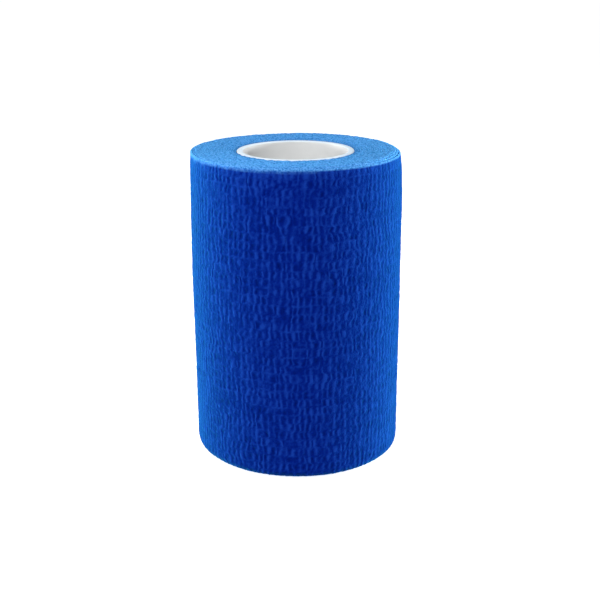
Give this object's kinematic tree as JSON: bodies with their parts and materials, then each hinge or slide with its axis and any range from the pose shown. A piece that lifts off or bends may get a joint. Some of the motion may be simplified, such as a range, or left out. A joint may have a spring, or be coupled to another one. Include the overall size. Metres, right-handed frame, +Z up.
{
  "type": "cohesive bandage roll",
  "caption": "Blue crepe self-adhering bandage wound on a white tube, standing on its end, with soft rounded edges.",
  "frame": {"origin": "middle of the end that the roll stands on", "axes": "+Z up along the roll's axis, +Y towards the back, where the cloth's cut end lies, +X to the right"},
  "size_m": [0.0513, 0.0517, 0.075],
  "materials": {
    "bandage": "matte crepe",
    "core": "smooth matte"
  },
  "bodies": {
    "root": {"bandage_roll": "bandage", "core_tube": "core"}
  },
  "joints": []
}
